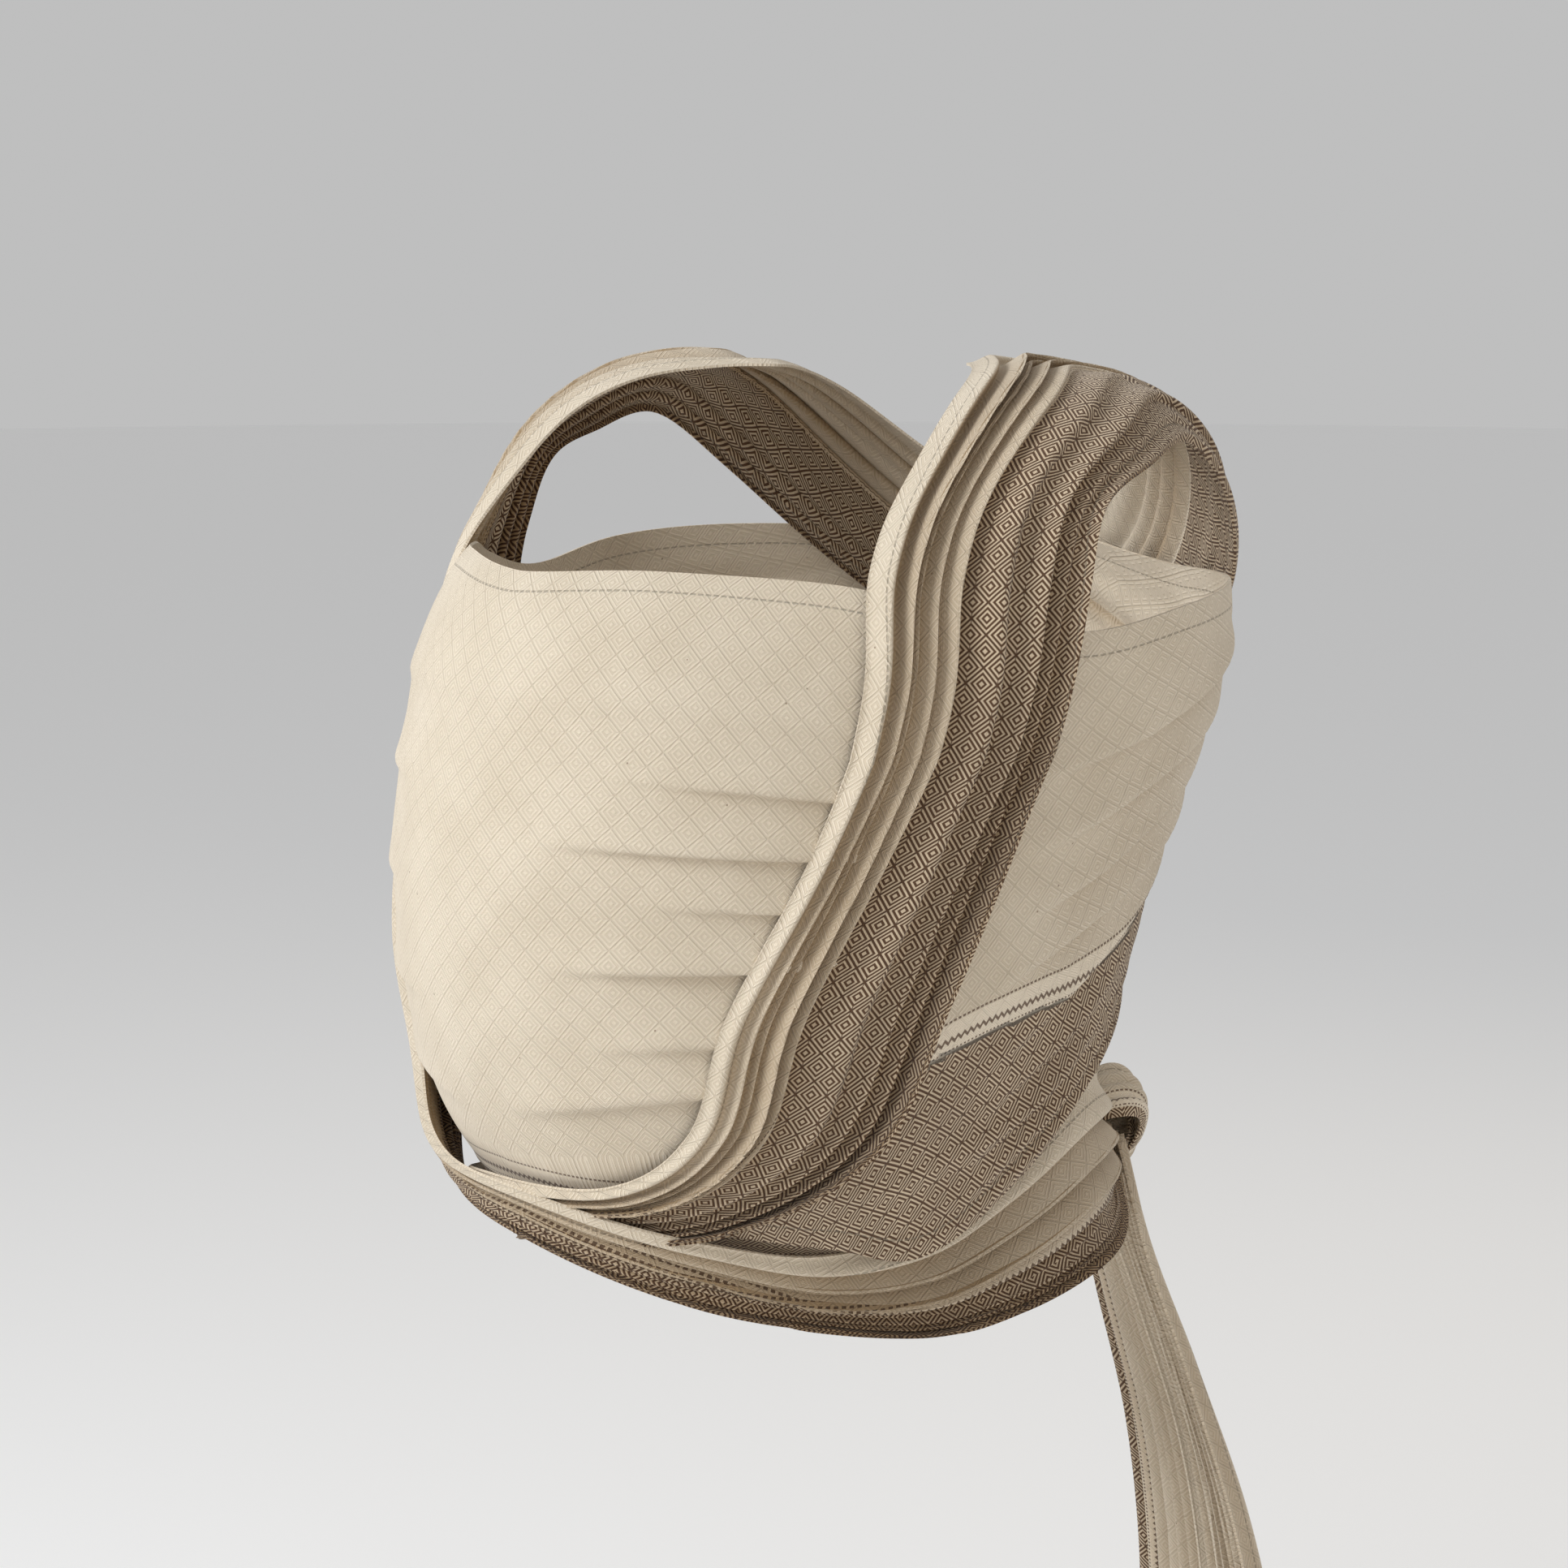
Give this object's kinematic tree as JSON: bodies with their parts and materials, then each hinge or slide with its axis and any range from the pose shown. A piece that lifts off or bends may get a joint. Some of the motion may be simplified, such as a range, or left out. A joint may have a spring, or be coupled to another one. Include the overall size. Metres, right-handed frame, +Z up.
{
  "type": "baby wrap sling",
  "caption": "Woven baby wrap sling in its worn front cross carry: pouch panel, crossed shoulder straps, seat and waist passes, back knot and hanging tails.",
  "frame": {"origin": "on the wearer's torso axis at the height of the waist passes", "axes": "+Z up along the wearer's torso, -Y the wearer's front where the baby sits, +X the wearer's left"},
  "size_m": [0.3572, 0.4153, 0.8894],
  "materials": {
    "cream_cloth": "natural cream cotton in a raised diamond twill, with small dark flecks",
    "brown_rail": "taupe and cream diamond twill, matte cotton"
  },
  "bodies": {
    "worn_wrap": {"panel_top_hem": "cream_cloth", "panel_field": "cream_cloth", "panel_rail": "brown_rail", "panel_seat": "brown_rail", "side_field_left": "cream_cloth", "side_rail_left": "brown_rail", "side_field_right": "cream_cloth", "side_rail_right": "brown_rail", "back_field_left": "cream_cloth", "back_rail_left": "brown_rail", "back_field_right": "cream_cloth", "back_rail_right": "brown_rail", "shoulder_field_left": "cream_cloth", "shoulder_rail_left": "brown_rail", "shoulder_field_right": "cream_cloth", "shoulder_rail_right": "brown_rail", "strap_field_left": "cream_cloth", "strap_rail_left": "brown_rail", "strap_field_right": "cream_cloth", "strap_rail_right": "brown_rail", "seat_field_left": "cream_cloth", "seat_rail_left": "brown_rail", "seat_field_right": "cream_cloth", "seat_rail_right": "brown_rail", "waist_field_left": "cream_cloth", "waist_rail_left": "brown_rail", "waist_field_right": "cream_cloth", "waist_rail_right": "brown_rail", "knot": "cream_cloth"},
    "tail_left_body": {"tail_left": "cream_cloth"},
    "tail_right_body": {"tail_right": "cream_cloth"}
  },
  "joints": [
    {"name": "tail_left_swing", "type": "hinge", "parent": "worn_wrap", "child": "tail_left_body", "pos_m": [0.05705, 0.09882, 0.008], "axis": [0.866, -0.5, 0], "range_deg": [0, 75]},
    {"name": "tail_right_swing", "type": "hinge", "parent": "worn_wrap", "child": "tail_right_body", "pos_m": [0.05705, 0.09882, 0.008], "axis": [0.866, -0.5, 0], "range_deg": [0, 75]}
  ]
}
